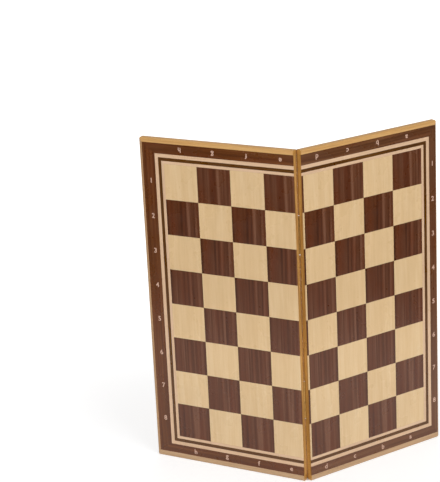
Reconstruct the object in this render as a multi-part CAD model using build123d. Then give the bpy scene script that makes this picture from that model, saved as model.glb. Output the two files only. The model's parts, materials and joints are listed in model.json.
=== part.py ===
from build123d import *
import os
from math import cos, radians, sin

# A thin folding chess board of two veneered leaves, standing on edge, half folded like an open book
# with its playing faces outside. Millimetres and degrees. +Z runs up along the fold, the fold points
# to -Y, and the origin is on the table under the middle of the board's box.
#
# Each leaf is laid out flat first, in the plane of the open board: X runs away from the fold, the
# hinge pins lie on the Z axis, and depths are counted from the playing face towards the underside.

# The leaf: a panel core, a veneer on each side, and solid lipping round three edges. The saw that
# parted the leaves ran beside the middle line, and the outer lippings differ a little in width.
LEAF_WIDTHS = {"left": 196.8, "right": 194.4}
LEAF_HEIGHT = 400.0
LEAF_THICKNESS = 8.4
VENEER = 0.6
OUTER_LIPPINGS = {"left": 3.8, "right": 1.9}
TOP_LIPPING = 5.3
BOTTOM_LIPPING = 7.0
ARRIS_RADIUS = 1.9
CORNER_RADIUS = 2.0

# The fold: each leaf is turned this far out of the plane of the open board, and the sawn edges
# all but touch, with the pins' axis in the plane of the undersides
LEAF_TURN = 30.8
EDGE_CLEARANCE = 0.005
PIVOT_PROUD = 0.005

# The chequered field: ranks from the top, and the width left of each file from the fold outwards,
# with a sliver of one file on the right leaf
SQUARE = 42.6
RANKS = 8
FIELD_BELOW_TOP = 29.4
WHOLE_FILES = [SQUARE] * 3
FILES = {
    "left": [37.3] + WHOLE_FILES,
    "right": [2.0, 41.1] + WHOLE_FILES,
}

# Lines of stringing round the field, from the inside, then the wide band out to the lipping
INNER_STRINGING = 3.4
DARK_STRINGING = 4.0
OUTER_STRINGING = 4.3

# Felt pads near the outer corners of the undersides
PAD_DIAMETER = 16.0
PAD_THICKNESS = 3.0
PAD_EDGE_ROUND = 0.6
PAD_FROM_FOLD = 182.0
PAD_FROM_END = 20.0

# Small brass butt hinges let into the undersides, with slim barrels where the leaves' edges meet
HINGE_OFFSET = 100.0
HINGE_LENGTH = 45.0
PLATE_REACH = 12.0
PLATE_THICKNESS = 1.0
PLATE_CORNER_RADIUS = 1.5
KNUCKLE_RADIUS = 1.3
KNUCKLE_COUNT = 5
KNUCKLE_GAP = 0.2
BARREL_CLEARANCE = 0.2
NOTCH_END_CLEARANCE = 1.0
PIN_RADIUS = 0.6
PIN_RUNNING_CLEARANCE = 0.05
PIN_STAND_OUT = 0.5
PIN_END_ROUND = 0.25

# Countersunk slotted screws, three to a plate, the middle one set further out
SCREW_LENGTH = 6.0
SCREW_HEAD_RADIUS = 1.9
SCREW_SHANK_RADIUS = 1.0
SCREW_TIP_LENGTH = 1.4
SCREW_TIP_RADIUS = 0.2
SLOT_WIDTH = 0.5
SLOT_DEPTH = 0.4
SCREW_SPREAD = 16.0
SCREW_FROM_FOLD = [6.2, 8.6, 6.2]

# Places that follow from the sizes above
DIRECTIONS = {"left": -1, "right": 1}
HINGE_HEIGHTS = {
    "upper": LEAF_HEIGHT / 2 + HINGE_OFFSET,
    "lower": LEAF_HEIGHT / 2 - HINGE_OFFSET,
}
FIELD_TOP = LEAF_HEIGHT - FIELD_BELOW_TOP
FIELD_BOTTOM = FIELD_TOP - RANKS * SQUARE

os.makedirs("parts", exist_ok=True)


def flat_x(side, distance):
    """X, on the open board, of a point at a distance from a leaf's fold edge."""
    return DIRECTIONS[side] * (EDGE_CLEARANCE + distance)


def flat_y(depth):
    """Y, on the open board, of a point at a depth below the playing face."""
    return depth - LEAF_THICKNESS - PIVOT_PROUD


def prism(side, outline, front, back):
    """A straight prism on (distance from the fold, height) points, between two depths."""
    points = [(flat_x(side, distance), flat_y(front), height) for distance, height in outline]
    face = make_face(Polyline(*points, close=True))
    return extrude(face, amount=back - front, dir=(0, 1, 0))


def slab(side, inside, outside, bottom, top, front, back):
    """A box between two distances from the fold, two heights and two depths."""
    outline = [(inside, bottom), (outside, bottom), (outside, top), (inside, top)]
    return prism(side, outline, front, back)


def border(side, inner, outer, front, back):
    """Top, outer and bottom strips between two nested (reach, bottom, top) frames, mitred."""
    reach_in, bottom_in, top_in = inner
    reach_out, bottom_out, top_out = outer
    top = [(0, top_in), (reach_in, top_in), (reach_out, top_out), (0, top_out)]
    outer_side = [
        (reach_in, bottom_in),
        (reach_out, bottom_out),
        (reach_out, top_out),
        (reach_in, top_in),
    ]
    bottom = [(0, bottom_out), (reach_out, bottom_out), (reach_in, bottom_in), (0, bottom_in)]
    return [prism(side, outline, front, back) for outline in (top, outer_side, bottom)]


def grown(frame, amount):
    """A (reach, bottom, top) frame with its three sides moved out."""
    reach, bottom, top = frame
    return (reach + amount, bottom - amount, top + amount)


def leaf_blank(side):
    """The whole leaf as one solid, with round outer corners and round arrises on three edges."""
    blank = slab(side, 0, LEAF_WIDTHS[side], 0, LEAF_HEIGHT, 0, LEAF_THICKNESS)
    outer_x = flat_x(side, LEAF_WIDTHS[side])
    corners = [
        edge for edge in blank.edges().filter_by(Axis.Y) if abs(edge.center().X - outer_x) < 1
    ]
    blank = fillet(corners, CORNER_RADIUS)
    fold_x = flat_x(side, 0)
    middle_y = flat_y(LEAF_THICKNESS / 2)
    arrises = [
        edge
        for edge in blank.edges()
        if abs(edge.center().Y - middle_y) > LEAF_THICKNESS / 3 and abs(edge.center().X - fold_x) > 1
    ]
    return fillet(arrises, ARRIS_RADIUS)


def knuckle_span(height, index):
    """Bottom and top of one of a hinge's knuckles."""
    pitch = HINGE_LENGTH / KNUCKLE_COUNT
    bottom = height - HINGE_LENGTH / 2 + index * pitch
    return bottom + KNUCKLE_GAP / 2, bottom + pitch - KNUCKLE_GAP / 2


def upright_cylinder(radius, bottom, top):
    """A cylinder on the hinge pins' axis."""
    return Pos(0, 0, (bottom + top) / 2) * Cylinder(radius, top - bottom)


def barrel_notch(height):
    """The room that a hinge's barrel takes out of both leaves."""
    reach = HINGE_LENGTH / 2 + NOTCH_END_CLEARANCE
    return upright_cylinder(KNUCKLE_RADIUS + BARREL_CLEARANCE, height - reach, height + reach)


def plate_blank(side, height):
    """The flat part of a hinge plate, which is also the mortise that it lies in."""
    bottom = height - HINGE_LENGTH / 2
    top = height + HINGE_LENGTH / 2
    front = LEAF_THICKNESS - PLATE_THICKNESS
    blank = slab(side, -EDGE_CLEARANCE, PLATE_REACH, bottom, top, front, LEAF_THICKNESS)
    outer_x = flat_x(side, PLATE_REACH)
    corners = [
        edge for edge in blank.edges().filter_by(Axis.Y) if abs(edge.center().X - outer_x) < 1
    ]
    return fillet(corners, PLATE_CORNER_RADIUS)


def screw(side, distance, height):
    """A countersunk wood screw, driven from the underside, its slot across the leaf."""
    cone = SCREW_HEAD_RADIUS - SCREW_SHANK_RADIUS
    profile = Polyline(
        (0, 0, 0),
        (SCREW_HEAD_RADIUS, 0, 0),
        (SCREW_SHANK_RADIUS, -cone, 0),
        (SCREW_SHANK_RADIUS, SCREW_TIP_LENGTH - SCREW_LENGTH, 0),
        (SCREW_TIP_RADIUS, -SCREW_LENGTH, 0),
        (0, -SCREW_LENGTH, 0),
        close=True,
    )
    body = revolve(make_face(profile), Axis.Y)
    return Pos(flat_x(side, distance), flat_y(LEAF_THICKNESS), height) * body


def screw_places(height):
    """Distances from the fold and heights of a plate's three screws."""
    return [
        (distance, height + (index - 1) * SCREW_SPREAD)
        for index, distance in enumerate(SCREW_FROM_FOLD)
    ]


def slotted(side, distance, height):
    """A screw with the slot cut in its head."""
    slot = Box(2 * SCREW_HEAD_RADIUS + 1, 2 * SLOT_DEPTH, SLOT_WIDTH)
    place = Pos(flat_x(side, distance), flat_y(LEAF_THICKNESS), height)
    return screw(side, distance, height) - place * slot


def hinge_plate(side, height):
    """A plate with its own knuckles, cleared for the other plate's, bored and countersunk."""
    own = 0 if side == "left" else 1
    bore = PIN_RADIUS if side == "left" else PIN_RADIUS + PIN_RUNNING_CLEARANCE
    plate = plate_blank(side, height)
    for index in range(KNUCKLE_COUNT):
        bottom, top = knuckle_span(height, index)
        if index % 2 == own:
            plate += upright_cylinder(KNUCKLE_RADIUS, bottom, top)
        else:
            gap = KNUCKLE_GAP
            plate -= upright_cylinder(
                KNUCKLE_RADIUS + BARREL_CLEARANCE, bottom - gap, top + gap
            )
    for distance, screw_height in screw_places(height):
        plate -= screw(side, distance, screw_height)
    return plate - upright_cylinder(bore, height - HINGE_LENGTH, height + HINGE_LENGTH)


def hinge_pin(height):
    """A plain pin, a little longer than the barrel, with rounded ends."""
    reach = HINGE_LENGTH / 2 + PIN_STAND_OUT
    pin = upright_cylinder(PIN_RADIUS, height - reach, height + reach)
    return fillet(pin.edges().filter_by(GeomType.CIRCLE), PIN_END_ROUND)


def felt_pad(side, height):
    """A round felt pad on the underside."""
    pad = Rot(90, 0, 0) * Cylinder(PAD_DIAMETER / 2, PAD_THICKNESS)
    outer_edge = pad.edges().sort_by(Axis.Y)[-1]
    pad = fillet(outer_edge, PAD_EDGE_ROUND)
    return Pos(flat_x(side, PAD_FROM_FOLD), flat_y(LEAF_THICKNESS + PAD_THICKNESS / 2), height) * pad


def squares(side):
    """Dark and pale squares of a leaf, dark first beside the fold in the top rank."""
    colours = {"dark": [], "pale": []}
    inside = 0
    for file_index, width in enumerate(FILES[side]):
        for rank in range(RANKS):
            top = FIELD_TOP - rank * SQUARE
            colour = "pale" if (file_index + rank) % 2 else "dark"
            square = slab(side, inside, inside + width, top - SQUARE, top, 0, VENEER)
            colours[colour].append(square)
        inside += width
    return colours


def build_leaf(side):
    """Every piece of one leaf, on the open board, by name."""
    field = (sum(FILES[side]), FIELD_BOTTOM, FIELD_TOP)
    inner = grown(field, INNER_STRINGING)
    dark = grown(inner, DARK_STRINGING)
    outer = grown(dark, OUTER_STRINGING)
    outline = (LEAF_WIDTHS[side], 0, LEAF_HEIGHT)
    inside_lipping = LEAF_WIDTHS[side] - OUTER_LIPPINGS[side]
    panel = (inside_lipping, BOTTOM_LIPPING, LEAF_HEIGHT - TOP_LIPPING)

    back = LEAF_THICKNESS - VENEER
    core = slab(side, 0, *panel, VENEER, back)
    backing = slab(side, 0, *panel, back, LEAF_THICKNESS)
    pieces = {}
    for place, height in HINGE_HEIGHTS.items():
        cutters = [plate_blank(side, height), barrel_notch(height)]
        cutters += [screw(side, *spot) for spot in screw_places(height)]
        for cutter in cutters:
            core -= cutter
            backing -= cutter
        pieces[f"{place}_hinge_plate"] = [hinge_plate(side, height)]
        pieces[f"{place}_hinge_screws"] = [slotted(side, *spot) for spot in screw_places(height)]
    pieces["core"] = [core]
    pieces["backing_veneer"] = [backing]

    blank = leaf_blank(side)
    wedges = border(side, panel, outline, 0, LEAF_THICKNESS)
    for place, wedge in zip(("top", "outer", "bottom"), wedges):
        pieces[f"{place}_lipping"] = [blank & wedge]
    for place, strip in zip(("top", "outer", "bottom"), border(side, outer, panel, 0, VENEER)):
        pieces[f"{place}_band"] = [strip]
    pieces["inner_stringing"] = border(side, field, inner, 0, VENEER)
    pieces["dark_stringing"] = border(side, inner, dark, 0, VENEER)
    pieces["outer_stringing"] = border(side, dark, outer, 0, VENEER)
    for colour, tiles in squares(side).items():
        pieces[f"{colour}_squares"] = tiles
    ends = (PAD_FROM_END, LEAF_HEIGHT - PAD_FROM_END)
    pieces["felt_pads"] = [felt_pad(side, height) for height in ends]
    return pieces


def turned(across, along):
    """A point of the open board's right half after its leaf's turn, from the hinge axis."""
    turn = radians(LEAF_TURN)
    return across * cos(turn) - along * sin(turn), across * sin(turn) + along * cos(turn)


def pivot():
    """X and Y of the hinge pins' axis that put the board's box evenly about the origin."""
    front = turned(EDGE_CLEARANCE, flat_y(0))[1]
    sides = {}
    backs = []
    for side, width in LEAF_WIDTHS.items():
        arris = EDGE_CLEARANCE + width - ARRIS_RADIUS
        sides[side] = turned(arris, flat_y(ARRIS_RADIUS))[0] + ARRIS_RADIUS
        backs.append(turned(arris, flat_y(LEAF_THICKNESS - ARRIS_RADIUS))[1] + ARRIS_RADIUS)
    return (sides["left"] - sides["right"]) / 2, -(front + max(backs)) / 2


def stand(side):
    """The move that carries a leaf from the open board to its place in the standing one."""
    return Pos(*pivot(), 0) * Rot(0, 0, DIRECTIONS[side] * LEAF_TURN)


def write(node, place, shapes):
    """Write one node's separate solids, moved to where the board stands."""
    solids = [place * solid for shape in shapes for solid in shape.solids()]
    whole = solids[0] if len(solids) == 1 else Compound(solids)
    export_step(whole, f"parts/{node}.step")


for leaf in DIRECTIONS:
    for name, shapes in build_leaf(leaf).items():
        write(f"{leaf}_{name}", stand(leaf), shapes)
for place_name, pin_height in HINGE_HEIGHTS.items():
    write(f"{place_name}_hinge_pin", stand("left"), [hinge_pin(pin_height)])

print("hinge axis at x and y", [round(value, 4) for value in pivot()])
print("each leaf turned", LEAF_TURN, "degrees, so the board is folded", 2 * LEAF_TURN)
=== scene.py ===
"""Looks of a folding chess board: two veneered leaves on brass hinges, standing half folded.

Meshes are in metres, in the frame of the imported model. Materials and places on a leaf work in
open-board millimetres: x across both leaves from the hinge pins, y from the pins towards the
underside, z up along the fold.
"""

import json
import logging
from abc import ABC, abstractmethod
from dataclasses import dataclass, field, replace
from enum import Enum
from math import atan2, cos, radians, sin

import bpy
import numpy as np
from mathutils import Matrix, Vector


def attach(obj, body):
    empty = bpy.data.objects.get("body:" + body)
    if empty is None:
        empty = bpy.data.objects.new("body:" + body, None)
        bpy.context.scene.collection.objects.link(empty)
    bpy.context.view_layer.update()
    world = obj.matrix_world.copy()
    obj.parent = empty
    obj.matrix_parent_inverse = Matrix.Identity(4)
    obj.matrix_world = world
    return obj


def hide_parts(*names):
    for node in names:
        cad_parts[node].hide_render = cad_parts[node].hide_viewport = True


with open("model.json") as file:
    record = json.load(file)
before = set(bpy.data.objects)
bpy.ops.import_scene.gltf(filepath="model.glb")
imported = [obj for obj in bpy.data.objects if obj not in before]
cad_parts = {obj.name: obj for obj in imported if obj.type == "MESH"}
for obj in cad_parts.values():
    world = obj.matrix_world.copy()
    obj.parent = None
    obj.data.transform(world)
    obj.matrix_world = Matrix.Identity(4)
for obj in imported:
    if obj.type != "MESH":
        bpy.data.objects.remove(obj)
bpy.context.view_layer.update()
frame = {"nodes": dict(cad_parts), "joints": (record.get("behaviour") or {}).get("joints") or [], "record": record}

log = logging.getLogger("chess_board")

MM = 0.001
RANKS = 8
FILES = 4

Rgb = tuple[float, float, float]
Rgba = tuple[float, float, float, float]
Stops = tuple[tuple[float, Rgb], ...]
WHITE: Rgba = (1.0, 1.0, 1.0, 1.0)


class Side(Enum):
    """The two leaves, as seen from the front."""

    LEFT = "left"
    RIGHT = "right"


class Grain(Enum):
    """The way the wood's grain runs on the open board."""

    ACROSS = "across"
    UP = "up"


def srgb(colour: Rgb) -> Rgba:
    """Turn a display colour of 0 to 255 into the linear colour that a shader takes.

    Each channel c, over 255, becomes ((c + 0.055) / 1.055) to the power 2.4, or c / 12.92 where it
    is below 0.04045.

    Args:
        colour: Red, green and blue from 0 to 255.

    Returns:
        The linear colour with an alpha of 1.
    """
    share = np.asarray(colour, dtype=float) / 255.0
    linear = np.where(share < 0.04045, share / 12.92, ((share + 0.055) / 1.055) ** 2.4)
    return (*linear.tolist(), 1.0)


class Socket:
    """A node's output, on which Python's arithmetic adds Math nodes."""

    def __init__(self, recipe: "Recipe", output: bpy.types.NodeSocket) -> None:
        """Wrap one output of a node in a recipe's tree."""
        self.recipe = recipe
        self.output = output

    def math(self, operation: str, *others: "Socket | float") -> "Socket":
        """Add a Math node that takes this socket first.

        Args:
            operation: The node's operation.
            others: Its further inputs, as sockets or numbers.

        Returns:
            The node's result.
        """
        return self.recipe.math(operation, self, *others)

    def other(self, name: str) -> "Socket":
        """Give another output of the same node, by name."""
        return Socket(self.recipe, self.output.node.outputs[name])

    def __add__(self, value: "Socket | float") -> "Socket":
        """Sum."""
        return self.math("ADD", value)

    def __sub__(self, value: "Socket | float") -> "Socket":
        """Difference."""
        return self.math("SUBTRACT", value)

    def __mul__(self, value: "Socket | float") -> "Socket":
        """Product."""
        return self.math("MULTIPLY", value)

    def __truediv__(self, value: "Socket | float") -> "Socket":
        """Quotient."""
        return self.math("DIVIDE", value)

    def __radd__(self, value: float) -> "Socket":
        """Sum with a number first."""
        return self.math("ADD", value)

    def __rmul__(self, value: float) -> "Socket":
        """Product with a number first."""
        return self.math("MULTIPLY", value)

    def __rsub__(self, value: float) -> "Socket":
        """A number less this."""
        return self.recipe.math("SUBTRACT", value, self)

    def __rtruediv__(self, value: float) -> "Socket":
        """A number over this."""
        return self.recipe.math("DIVIDE", value, self)

    def floor(self) -> "Socket":
        """The whole part."""
        return self.math("FLOOR")

    def fraction(self) -> "Socket":
        """What is left past the whole part."""
        return self.math("FRACT")

    def size(self) -> "Socket":
        """The value without its sign."""
        return self.math("ABSOLUTE")

    def above(self, value: "Socket | float") -> "Socket":
        """1 where this is greater, else 0."""
        return self.math("GREATER_THAN", value)

    def least(self, value: "Socket | float") -> "Socket":
        """The smaller of the two."""
        return self.math("MINIMUM", value)

    def most(self, value: "Socket | float") -> "Socket":
        """The larger of the two."""
        return self.math("MAXIMUM", value)

    def rise(self, low: float, high: float, start: float = 0.0, end: float = 1.0) -> "Socket":
        """Run smoothly from start to end as this goes from low to high.

        The curve is 3 t t - 2 t t t, where t goes from 0 at low to 1 at high and stays there.

        Args:
            low: Where the rise starts.
            high: Where it ends.
            start: The value up to low.
            end: The value from high on.

        Returns:
            The risen value.
        """
        limits = {"From Min": low, "From Max": high, "To Min": start, "To Max": end}
        settings = {"interpolation_type": "SMOOTHSTEP"}
        return self.recipe.node("ShaderNodeMapRange", settings, {"Value": self, **limits}, "Result")


class Recipe:
    """A material in the making: its node tree and the few ways in which nodes are added."""

    def __init__(self, tree: bpy.types.NodeTree) -> None:
        """Start on an empty node tree."""
        self.tree = tree
        tree.nodes.clear()

    @classmethod
    def material(cls, name: str) -> tuple["Recipe", bpy.types.Material]:
        """Make a material with an empty tree.

        Args:
            name: The material's name.

        Returns:
            The recipe that fills it, and the material.
        """
        made = bpy.data.materials.new(name)
        made.use_nodes = True
        return cls(made.node_tree), made

    def add(
        self,
        kind: str,
        settings: dict[str, object] | None = None,
        inputs: dict[str | int, object] | None = None,
    ) -> bpy.types.Node:
        """Add one node.

        Args:
            kind: The node's type.
            settings: Its properties, set before the inputs; "stops" fills a colour ramp.
            inputs: Values or sockets by the input's name or place.

        Returns:
            The node.
        """
        made = self.tree.nodes.new(kind)
        for name, value in (settings or {}).items():
            if name == "stops":
                self._fill_ramp(made.color_ramp, value)
            else:
                setattr(made, name, value)
        for name, value in (inputs or {}).items():
            target = made.inputs[name]
            if isinstance(value, Socket):
                self.tree.links.new(value.output, target)
            else:
                target.default_value = value
        return made

    def node(
        self,
        kind: str,
        settings: dict[str, object] | None = None,
        inputs: dict[str | int, object] | None = None,
        output: str | int = 0,
    ) -> Socket:
        """Add one node and give back one of its outputs, by name or place."""
        return Socket(self, self.add(kind, settings, inputs).outputs[output])

    def math(self, operation: str, *values: Socket | float) -> Socket:
        """Add a Math node with its inputs in order, as sockets or numbers."""
        return self.node("ShaderNodeMath", {"operation": operation}, dict(enumerate(values)))

    @staticmethod
    def _fill_ramp(ramp: bpy.types.ColorRamp, stops: Stops) -> None:
        """Give a colour ramp its stops.

        Args:
            ramp: The ramp, which has two stops to begin with.
            stops: A place and a display colour each.
        """
        while len(ramp.elements) < len(stops):
            ramp.elements.new(1.0)
        for element, (place, colour) in zip(ramp.elements, stops):
            element.position = place
            element.color = srgb(colour)

    def vector(self, x: Socket | float, y: Socket | float, z: Socket | float) -> Socket:
        """Join three values into a vector."""
        return self.node("ShaderNodeCombineXYZ", inputs={0: x, 1: y, 2: z})

    def noise(self, place: Socket, detail: float, shift: Socket | float) -> Socket:
        """Fractal noise about 0.5, in which one unit of place is about one blob.

        Args:
            place: The vector to read it at.
            detail: How many finer layers it has.
            shift: A fourth coordinate, which gives another pattern.

        Returns:
            The noise.
        """
        inputs = {"Vector": place, "W": shift, "Scale": 1.0, "Detail": detail}
        return self.node("ShaderNodeTexNoise", {"noise_dimensions": "4D"}, inputs)

    def chance(self, x: Socket | float, y: Socket | float, z: Socket | float) -> Socket:
        """A random value from 0 to 1 that only changes with the three values."""
        return self.node("ShaderNodeTexWhiteNoise", inputs={"Vector": self.vector(x, y, z)})

    def ramp(self, value: Socket, stops: Stops) -> Socket:
        """The colour that a value has on a ramp of display colours."""
        return self.node("ShaderNodeValToRGB", {"stops": stops}, {0: value})

    def blend(self, share: Socket | float, first: Socket | Rgba, second: Socket | Rgba) -> Socket:
        """Mix two colours: the first where share is 0, the second where it is 1."""
        return self.node("ShaderNodeMix", {"data_type": "RGBA"}, {0: share, 6: first, 7: second}, 2)

    def scaled(self, colour: Socket, amount: Socket) -> Socket:
        """A colour made lighter or darker by an amount, where 1 leaves it as it is."""
        inputs = {0: colour, 1: self.vector(amount, amount, amount)}
        return self.node("ShaderNodeVectorMath", {"operation": "MULTIPLY"}, inputs)

    def finish(
        self,
        colour: Socket,
        roughness: Socket,
        height: Socket,
        depth: float,
        constants: dict[str, float] | None = None,
    ) -> None:
        """End the recipe with the shader and the output.

        Args:
            colour: Base colour.
            roughness: Roughness.
            height: Relief, from 0 in its hollows to 1 on its crests.
            depth: How deep the relief is, in millimetres.
            constants: Values that are the same all over, by the shader's socket.
        """
        relief = {"Strength": 1.0, "Distance": depth * MM, "Height": height}
        normal = self.node("ShaderNodeBump", inputs=relief)
        varied = {"Base Color": colour, "Roughness": roughness, "Normal": normal}
        shader = self.node("ShaderNodeBsdfPrincipled", inputs=varied | (constants or {}))
        self.add("ShaderNodeOutputMaterial", inputs={"Surface": shader})


@dataclass(frozen=True)
class LeafFrame:
    """Where one leaf stands: its turn about the hinge pins from the open board."""

    side: Side
    hinge: tuple[float, float]
    turn: float

    @classmethod
    def read(cls, side: Side) -> "LeafFrame":
        """Read a leaf's place from the fold joint and from the mount on its playing face.

        The face looks along -Y on the open board, so its normal (nx, ny) gives a turn of
        atan2(nx, -ny).

        Args:
            side: Which leaf.

        Returns:
            The leaf's place.
        """
        joint = next(joint for joint in frame["joints"] if joint["name"] == "fold")
        mounts = {mount["name"]: mount for mount in frame["record"]["mounts"]}
        normal = mounts[f"{side.value}_playing_face"]["axis"]
        return cls(side, tuple(joint["pos_m"][:2]), atan2(normal[0], -normal[1]))

    @property
    def body(self) -> str:
        """The leaf's body."""
        return f"{self.side.value}_leaf"

    @property
    def outward(self) -> float:
        """The sign of x on this leaf."""
        return -1.0 if self.side is Side.LEFT else 1.0

    def to_row(self, points: np.ndarray) -> np.ndarray:
        """Carry points of the open board to the standing board, by the leaf's turn and the hinge.

        Args:
            points: Rows of x, y and z in millimetres.

        Returns:
            The same rows in metres.
        """
        x, y, z = (points * MM).T
        turned = x * cos(self.turn) - y * sin(self.turn), x * sin(self.turn) + y * cos(self.turn)
        return np.column_stack([turned[0] + self.hinge[0], turned[1] + self.hinge[1], z])

    def to_board(self, points: np.ndarray) -> np.ndarray:
        """Carry points of the standing board to the open board, by the turn back.

        Args:
            points: Rows of x, y and z in metres.

        Returns:
            The same rows in millimetres.
        """
        x, y, z = (points - (*self.hinge, 0.0)).T / MM
        opened = x * cos(self.turn) + y * sin(self.turn), y * cos(self.turn) - x * sin(self.turn)
        return np.column_stack([opened[0], opened[1], z])

    def box(self, node: str) -> tuple[np.ndarray, np.ndarray]:
        """Give the lowest and highest corners of one of the leaf's nodes on the open board.

        Args:
            node: The node's name without its side.

        Returns:
            Two points in millimetres.
        """
        mesh = frame["nodes"][f"{self.side.value}_{node}"].data
        points = np.empty(len(mesh.vertices) * 3, dtype=np.float32)
        mesh.vertices.foreach_get("co", points)
        opened = self.to_board(points.reshape(-1, 3).astype(float))
        return opened.min(axis=0), opened.max(axis=0)

    def coordinates(self, recipe: Recipe) -> tuple[Socket, Socket, Socket]:
        """Add the nodes that turn object coordinates back to the open board.

        Args:
            recipe: Where the nodes go.

        Returns:
            The x, y and z there, in millimetres.
        """
        place = recipe.node("ShaderNodeTexCoord", output="Object")
        shift = Matrix.Rotation(-self.turn, 3, "Z") @ Vector((*self.hinge, 0.0)) / MM
        inputs = {
            "Vector": place,
            "Location": -shift,
            "Rotation": (0.0, 0.0, -self.turn),
            "Scale": (1 / MM, 1 / MM, 1 / MM),
        }
        mapped = recipe.node("ShaderNodeMapping", {"vector_type": "POINT"}, inputs)
        parts = recipe.node("ShaderNodeSeparateXYZ", inputs={0: mapped}, output="X")
        return parts, parts.other("Y"), parts.other("Z")


@dataclass(frozen=True)
class Chequer:
    """The squares of one leaf on the open board, in millimetres.

    Attributes:
        square: A square's side.
        start: The left side of the leaf's outer four files, each counted as a full square.
        top: The top of the squares.
        outer: The side of the squares away from the fold.
        files: The middles of the files in x.
        ranks: The middles of the ranks in z, from the top down.
    """

    square: float
    start: float
    top: float
    outer: float
    files: tuple[float, ...]
    ranks: tuple[float, ...]

    @classmethod
    def read(cls, leaf: LeafFrame) -> "Chequer":
        """Work the layout out from the leaf's squares, counted in from its outer side.

        Args:
            leaf: The leaf.

        Returns:
            Its layout.
        """
        low, high = leaf.box("pale_squares")
        square = (high[2] - low[2]) / RANKS
        start = low[0] if leaf.side is Side.LEFT else high[0] - FILES * square
        outer = low[0] if leaf.side is Side.LEFT else high[0]
        files = start + (np.arange(FILES) + 0.5) * square
        ranks = high[2] - (np.arange(RANKS) + 0.5) * square
        return cls(square, start, high[2], outer, tuple(files), tuple(ranks))


@dataclass(frozen=True)
class Pattern:
    """A noise that is stretched along the grain.

    Attributes:
        wide: The width and depth of its blobs, in millimetres.
        long: Their length.
        detail: How many finer layers it has.
        seed: Which of the noise's patterns it is.
        span: The values between which it sets in, where it is read as a mask.
    """

    wide: float
    long: float
    detail: float
    seed: float = 0.0
    span: tuple[float, float] = (0.3, 0.7)


@dataclass(frozen=True)
class Spot:
    """The point that a shader is worked out at: across the grain, below the face and along it."""

    recipe: Recipe
    across: Socket
    depth: Socket
    along: Socket

    @classmethod
    def with_grain(cls, recipe: Recipe, x: Socket, y: Socket, z: Socket, grain: Grain) -> "Spot":
        """Sort the place on the open board by the way the grain runs."""
        across, along = (z, x) if grain is Grain.ACROSS else (x, z)
        return cls(recipe, across, y, along)

    def noise(self, pattern: Pattern, sheet: Socket | float = 0.0) -> Socket:
        """Add a pattern's noise.

        Args:
            pattern: The pattern.
            sheet: Which sheet of veneer it is on, where sheets differ.

        Returns:
            The noise, about 0.5.
        """
        wide, deep = self.across / pattern.wide, self.depth / pattern.wide
        place = self.recipe.vector(wide, deep, self.along / pattern.long)
        return self.recipe.noise(place, pattern.detail, sheet + pattern.seed)

    def mask(
        self,
        pattern: Pattern,
        start: float = 0.0,
        end: float = 1.0,
        sheet: Socket | float = 0.0,
    ) -> Socket:
        """A pattern's noise, run from start to end over the pattern's span."""
        return self.noise(pattern, sheet).rise(*pattern.span, start, end)


@dataclass(frozen=True)
class Layer:
    """One layer of a wood's figure: how much finer and shorter it is than the wood's streaks."""

    finer: float
    shorter: float
    detail: float
    seed: float
    weight: float


# What the figure and the lacquer of every wood share, with the patterns in millimetres.
FIGURE = (
    Layer(finer=1.0, shorter=1.0, detail=2.0, seed=0.0, weight=0.55),
    Layer(finer=6.0, shorter=2.0, detail=2.0, seed=7.0, weight=0.3),
    Layer(finer=20.0, shorter=5.0, detail=1.0, seed=13.0, weight=0.15),
)
FIGURE_SPREAD = 0.22
DRIFT = Pattern(70.0, 260.0, 1.0)
DRIFT_STREAKS = 3.0
PORES = Pattern(0.28, 5.0, 1.0, 3.0, (0.6, 0.7))
FLECKS = Pattern(0.7, 2.6, 0.0, 21.0, (0.66, 0.76))
BLUSHES = Pattern(9.0, 110.0, 1.0, 61.0, (0.4, 0.7))
BLUSH_SHARE = 0.6
CLOUDS = Pattern(55.0, 90.0, 2.0, 31.0, (0.3, 0.7))
CLOUD_SHADE = 0.03
SEAM_SHADE = 0.45
SMEARS = Pattern(24.0, 30.0, 3.0, 41.0, (0.35, 0.65))
DENTS = Pattern(9.0, 16.0, 1.0, 51.0)


@dataclass(frozen=True)
class Lacquer:
    """A satin lacquer that has sunk a little into the wood.

    Attributes:
        roughness: Its roughness.
        smears: How far the roughness goes up and down.
        gloss: The strength of its mirroring.
        depth: The depth of its relief, in millimetres.
        pore_share: How much of that depth a pore goes down by.
        figure_share: How much the pale figure stands up by.
        dent_share: How much the slow dents go up and down by.
    """

    roughness: float = 0.3
    smears: float = 0.05
    gloss: float = 0.45
    depth: float = 0.03
    pore_share: float = 0.7
    figure_share: float = 0.15
    dent_share: float = 0.8

    def relief(self, pores: Socket, figure: Socket, dents: Socket) -> Socket:
        """The lacquer's height, in shares of its depth."""
        return 1.0 - pores * self.pore_share + figure * self.figure_share + dents * self.dent_share

    def constants(self) -> dict[str, float]:
        """The shader's values that are the same all over."""
        return {"Specular IOR Level": self.gloss}


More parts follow.
